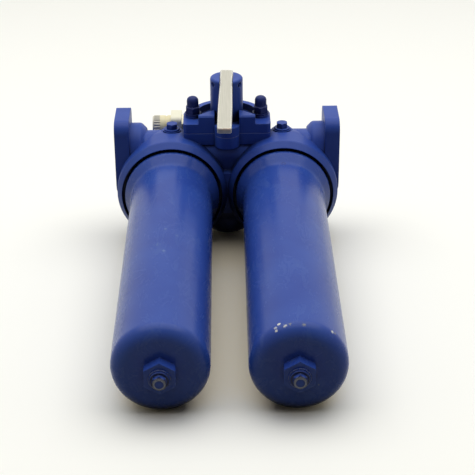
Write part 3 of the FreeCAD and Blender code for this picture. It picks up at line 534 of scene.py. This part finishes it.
# %% Recipe for the small parts
def two_tone(name, first, second, roughness, tone_scale, grain_scale, grain_depth, metal=0.0):
    """Two tones and two roughnesses mixed by one noise, over a fine grain."""
    finish, tree, shader = new_finish(name)
    tone = noise(tree, surface_place(tree), tone_scale, detail=4.0, roughness=0.6)
    relief = use_group(tree, fine_relief, Grain_Scale=grain_scale, Grain_Depth=grain_depth,
                       Edge_Radius=0.0003)
    feed(tree, shader.inputs["Base Color"], mix_colours(tree, tone, first, second))
    feed(tree, shader.inputs["Roughness"], mix_numbers(tree, tone, *roughness))
    feed(tree, shader.inputs["Normal"], relief.outputs["Normal"])
    feed(tree, shader.inputs["Metallic"], metal)
    return finish


print("recipe ready:", two_tone.__name__)

# %% [markdown]
# Metals first. Machined steel, spring wire and zinc sheet are whole metal. The indicator's
# adapter has a yellow passivation over it, so a little of its light comes from that layer.

# %% Finishes of the small metal parts
plain_steel = two_tone("machined steel", (0.42, 0.42, 0.43), (0.58, 0.58, 0.57), (0.28, 0.45),
                       tone_scale=120.0, grain_scale=1500.0, grain_depth=0.10, metal=1.0)
spring_steel = two_tone("spring steel", (0.30, 0.30, 0.31), (0.46, 0.45, 0.43), (0.25, 0.40),
                        tone_scale=200.0, grain_scale=1500.0, grain_depth=0.08, metal=1.0)
zinc_sheet = two_tone("zinc sheet", (0.52, 0.54, 0.56), (0.70, 0.71, 0.70), (0.32, 0.55),
                      tone_scale=90.0, grain_scale=800.0, grain_depth=0.10, metal=1.0)
adapter_metal = two_tone("passivated adapter", (0.45, 0.42, 0.30), (0.58, 0.55, 0.42),
                         (0.35, 0.50), tone_scale=150.0, grain_scale=900.0, grain_depth=0.12,
                         metal=0.8)
print("metals:", plain_steel.name, spring_steel.name, zinc_sheet.name, adapter_metal.name)

# %% [markdown]
# Rubber, filter mat, gasket fibre and moulded plastics are not metal. They differ in tone, in
# how dull they are and in the size of their grain. The gasket has taken some of the blue spray.

# %% Finishes of seals, mats and plastics
seal_rubber = two_tone("seal rubber", (0.012, 0.012, 0.013), (0.030, 0.030, 0.032), (0.50, 0.70),
                       tone_scale=300.0, grain_scale=1800.0, grain_depth=0.15)
filter_mat = two_tone("filter mat", (0.62, 0.58, 0.44), (0.76, 0.72, 0.58), (0.80, 0.95),
                      tone_scale=150.0, grain_scale=2400.0, grain_depth=0.50)
gasket_fibre = two_tone("gasket fibre", (0.07, 0.11, 0.34), (0.18, 0.22, 0.42), (0.70, 0.90),
                        tone_scale=400.0, grain_scale=2200.0, grain_depth=0.40)
cream_plastic = two_tone("cream plastic", (0.74, 0.71, 0.54), (0.84, 0.82, 0.66), (0.38, 0.55),
                         tone_scale=80.0, grain_scale=1600.0, grain_depth=0.10)
yellow_plastic = two_tone("yellow plastic", (0.74, 0.66, 0.40), (0.84, 0.77, 0.52), (0.40, 0.55),
                          tone_scale=80.0, grain_scale=1600.0, grain_depth=0.10)
grey_plastic = two_tone("grey grip plastic", (0.56, 0.53, 0.44), (0.70, 0.67, 0.56), (0.45, 0.65),
                        tone_scale=120.0, grain_scale=1600.0, grain_depth=0.18)
red_plastic = two_tone("red button plastic", (0.48, 0.02, 0.015), (0.58, 0.04, 0.03), (0.25, 0.40),
                       tone_scale=200.0, grain_scale=1800.0, grain_depth=0.06)
print("soft parts and plastics:", [finish.name for finish in (
    seal_rubber, filter_mat, gasket_fibre, cream_plastic, yellow_plastic, grey_plastic,
    red_plastic)])

# %% [markdown]
# Each solid is a named node with one material slot. A list of finishes and the nodes that wear
# them is easier to check than assignments spread over the file. The loop stops if a node was
# forgotten, so nothing is left with a plain colour.

# %% Give every solid its finish
both_sides = ("left_", "right_")


def on_both(*names):
    """The names of the pieces on the left and on the right."""
    return [side + name for side in both_sides for name in names]


wearers = [
    (cast_enamel, ["filter_head", "valve_cover", "valve_stem"]),
    (bowl_enamel, on_both("bowl")),
    (fastener_enamel, on_both("vent_plug", "vent_washer")),
    (nut_enamel, ["cover_nuts", "cover_washers"]),
    (worn_fastener, on_both("drain_plug", "drain_washer")),
    (lever_steel, ["lever_bar"]),
    (plain_steel, ["lever_pin", "cover_studs", "changeover_rotor", "stem_thrust_washer"]),
    (spring_steel, on_both("bypass_spring")),
    (zinc_sheet, on_both("element_core", "element_open_cap", "element_closed_cap",
                         "bypass_poppet", "bypass_cage")),
    (seal_rubber, on_both("bowl_seal", "nozzle_seal") + ["stem_seal"]),
    (filter_mat, on_both("element_pleats")),
    (gasket_fibre, ["cover_gasket"]),
    (adapter_metal, ["indicator_adapter"]),
    (cream_plastic, ["indicator_body"]),
    (yellow_plastic, ["indicator_barrel"]),
    (grey_plastic, ["indicator_cap"]),
    (red_plastic, ["indicator_button"]),
]
finish_of = {name: finish for finish, names in wearers for name in names}
for name, solid in nodes.items():
    for slot in solid.material_slots:
        slot.material = finish_of[name]
print("finished solids:", len(finish_of), "of", len(nodes))

# %% [markdown]
# A bypass spring gets shorter when its poppet opens, which a stiff solid can't show. Each spring
# is wound again here as a wire. A coil could be a screw modifier on a circle, but then its ends
# would be hard to place. Here the ring of points that is the wire's section is carried along a
# helix, square to it, so that the wire stays round.

# %% Points of a wound wire
coil_turns = 4
rings_per_turn = 40
wire_sides = 14


def wire_points(foot, along, length, coil_radius, wire_radius):
    """Rings of points along a helix. Foot is the middle of the end face where the wire starts."""
    across = Vector((1.0, 0.0, 0.0))
    side = along.cross(across)
    rise = length - 2 * wire_radius
    full_turn = 2 * math.pi
    points = []
    for step in range(coil_turns * rings_per_turn + 1):
        share = step / (coil_turns * rings_per_turn)
        turned = full_turn * coil_turns * share
        outward = math.cos(turned) * across + math.sin(turned) * side
        sideways = math.cos(turned) * side - math.sin(turned) * across
        heading = full_turn * coil_turns * coil_radius * sideways + rise * along
        upward = outward.cross(heading.normalized())
        middle = foot + (wire_radius + rise * share) * along + coil_radius * outward
        for k in range(wire_sides):
            angle = full_turn * k / wire_sides
            offset = math.cos(angle) * outward + math.sin(angle) * upward
            points.append(middle + wire_radius * offset)
    return points


print("rings in a wire:", coil_turns * rings_per_turn + 1, "points in a ring:", wire_sides)

# %% [markdown]
# Faces join each ring of points to the next, and one flat face closes each end. Only the long
# sides of the wire are shaded smooth, so that its cut ends stay sharp.

# %% Mesh of a wound wire
def wound_wire(name, *measures):
    """A mesh object of the wire. Measures are those of wire_points()."""
    points = wire_points(*measures)
    last_ring = len(points) - wire_sides
    around = [(k, (k + 1) % wire_sides) for k in range(wire_sides)]
    faces = [(first + k, first + after, first + wire_sides + after, first + wire_sides + k)
             for first in range(0, last_ring, wire_sides) for k, after in around]
    faces.append(tuple(reversed(range(wire_sides))))
    faces.append(tuple(range(last_ring, len(points))))
    mesh = bpy.data.meshes.new(name)
    mesh.from_pydata([tuple(point) for point in points], [], faces)
    mesh.polygons.foreach_set("use_smooth", [len(face) == 4 for face in faces])
    wire = bpy.data.objects.new(name, mesh)
    bpy.context.scene.collection.objects.link(wire)
    return wire


print("helper ready:", wound_wire.__name__)

# %% [markdown]
# Each wire takes its place and size from the solid spring that it stands for, and starts at the
# end that is held against the cage. It hangs on the housing, and the solid spring is hidden.

# %% Bypass springs wound as wire
for side_name in both_sides:
    solid_name = side_name + "bypass_spring"
    lift = joints[side_name + "bypass_lift"]
    along = Vector(lift["axis"]).normalized()
    held_end = Vector(lift["deforming_nodes"][0]["fixed_end_m"])
    from_held = [vertex.co - held_end for vertex in nodes[solid_name].data.vertices]
    heights = [offset.dot(along) for offset in from_held]
    radii = [(offset - offset.dot(along) * along).length for offset in from_held]
    free_length = max(heights) - min(heights)
    wire = wound_wire(side_name + "bypass_coil", held_end + min(heights) * along, along,
                      free_length, (max(radii) + min(radii)) / 2, (max(radii) - min(radii)) / 2)
    wire.data.materials.append(spring_steel)
    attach(wire, "housing")
    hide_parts(solid_name)
    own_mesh(wire)
    print(wire.name, "free length mm:", round(free_length * 1000, 2),
          "wire mm:", round((max(radii) - min(radii)) * 1000, 2))

# %% [markdown]
# In the photo the surroundings are white, yet they throw little light on the undersides. So rays
# are told apart with a light path node: the camera, mirror reflections and glass see one colour,
# and the light that is scattered back on the housing has another. Bench and world both use it.

# %% Helper that tells seen rays from scattered light
def seen_directly(tree):
    """A mask that is 1 for rays of the camera, of mirror reflection and of glass, 0 for others."""
    ray = put(tree, "ShaderNodeLightPath").outputs
    seen = number(tree, "MAXIMUM", ray["Is Camera Ray"], ray["Is Glossy Ray"])
    return number(tree, "MAXIMUM", seen, ray["Is Transmission Ray"])


print("helper ready:", seen_directly.__name__)

# %% [markdown]
# The bench is a plain pale sheet that only catches the shadow. It is seen nearly white, with a
# warm tone painted into the shadow close under the housing, while the light that it throws back
# is that of a grey sheet, so the undersides stay deep.

# %% Bench
floor_reach = 6.0
floor_seen = (0.93, 0.925, 0.90)
shadow_warm_tone = (0.95, 0.84, 0.64)
floor_bounce = (0.26, 0.24, 0.18)
floor_roughness = 0.7

corners = [(x * floor_reach, y * floor_reach, 0) for x, y in ((-1, -1), (1, -1), (1, 1), (-1, 1))]
floor_mesh = bpy.data.meshes.new("bench")
floor_mesh.from_pydata(corners, [], [(0, 1, 2, 3)])
bench = bpy.data.objects.new("bench", floor_mesh)
bpy.context.scene.collection.objects.link(bench)

bench_finish, tree, shader = new_finish("bench white")
# Painted shadow tint: a warm tone where the housing shades the bench.
housing_shadow = use_group(tree, recess_shade, Distance=0.090, Amount=1.0)
floor_shown = mix_colours(tree, housing_shadow.outputs["Mask"], floor_seen, shadow_warm_tone)
floor_tone = mix_colours(tree, seen_directly(tree), floor_bounce, floor_shown)
feed(tree, shader.inputs["Base Color"], floor_tone)
feed(tree, shader.inputs["Roughness"], floor_roughness)
bench.data.materials.append(bench_finish)
print("bench reach in metres:", floor_reach)

# %% [markdown]
# The photo was taken under a wide pale ceiling light. One broad lamp overhead, a little behind
# the housing, gives the soft shadow that falls towards the camera. Its size sets how soft the
# shadow's edge is, and its power is set for that size.

# %% Ceiling lamp
lamp_size = (3.8, 2.5)
lamp_watts = 55.5
lamp_place = Vector((0.0, 0.40, 2.3))
lamp_aim = Vector((0.0, 0.0, 0.0))

lamp = bpy.data.lights.new("overhead", "AREA")
lamp.shape = "RECTANGLE"
lamp.size, lamp.size_y = lamp_size
lamp.energy = lamp_watts
overhead = bpy.data.objects.new("overhead", lamp)
overhead.location = lamp_place
overhead.rotation_euler = (lamp_aim - lamp_place).to_track_quat("-Z", "Y").to_euler()
bpy.context.scene.collection.objects.link(overhead)
print("lamp:", overhead.name, "size in metres:", lamp_size)

# %% [markdown]
# The room has pale walls behind and beside the bench and is dim on the camera's side. Only
# scattered light knows that difference, and it keeps the round ends of the bowls a deep blue. The
# camera and mirrored rays see plain white all round, as the background of the photo is.

# %% World
room_back = (0.97, 0.97, 0.88)
room_front = (0.02, 0.02, 0.02)
room_strength = 0.72
dim_up_to = -0.62
pale_from = 0.10

world = bpy.data.worlds.new("pale surroundings")
world.use_nodes = True
bpy.context.scene.world = world
tree = world.node_tree
tree.nodes.clear()
direction = put(tree, "ShaderNodeTexCoord").outputs["Generated"]
backwards = put(tree, "ShaderNodeSeparateXYZ", Vector=direction).outputs["Y"]
room_depth = threshold(tree, backwards, dim_up_to, pale_from)
room_tone = mix_colours(tree, room_depth, room_front, room_back)
room = put(tree, "ShaderNodeBackground", Strength=room_strength, Color=room_tone)
white = put(tree, "ShaderNodeBackground", Strength=1.0, Color=(1.0, 1.0, 1.0, 1.0))
chosen = put(tree, "ShaderNodeMixShader", seen_directly(tree), room.outputs["Background"],
             white.outputs["Background"])
put(tree, "ShaderNodeOutputWorld", Surface=chosen.outputs["Shader"])
print("world:", world.name, "strength:", room_strength)

# %% [markdown]
# The camera's place was found from the two bowls: their sides, ends and collars fit one view
# from about 1.7 metres in front of the valve and 0.7 metres above it, through a long lens. The
# place is told in the housing's own directions and then leaned with it.

# %% Camera
camera_back = 1.65788
camera_up = 0.67534
camera_pitch = math.radians(27.20)
camera_turn = math.radians(0.43)
camera_roll = math.radians(-0.45)
photo_width = 475
focal_pixels = 1400.0
sensor_width = 36.0

forward = Vector((math.sin(camera_turn) * math.cos(camera_pitch),
                  math.cos(camera_turn) * math.cos(camera_pitch),
                  -math.sin(camera_pitch)))
level_right = Vector((math.cos(camera_turn), -math.sin(camera_turn), 0.0))
level_up = level_right.cross(forward)
right = math.cos(camera_roll) * level_right + math.sin(camera_roll) * level_up
up = -math.sin(camera_roll) * level_right + math.cos(camera_roll) * level_up
aim = lean @ Matrix((right, up, -forward)).transposed()

camera_data = bpy.data.cameras.new("photo_camera")
camera_data.sensor_width = sensor_width
camera_data.lens = focal_pixels / photo_width * sensor_width
camera = bpy.data.objects.new("photo_camera", camera_data)
camera_place = valve_point + lean @ Vector((0.0, -camera_back, camera_up))
camera.matrix_world = Matrix.Translation(camera_place) @ aim.to_4x4()
bpy.context.scene.collection.objects.link(camera)
bpy.context.scene.camera = camera
print("camera at:", [round(v, 4) for v in camera_place], "lens:", round(camera_data.lens, 1))

# %% [markdown]
# Renderers differ in how they map bright light to the picture. The plain Standard view shows
# colours as they are written.

# %% View
bpy.context.scene.view_settings.view_transform = "Standard"
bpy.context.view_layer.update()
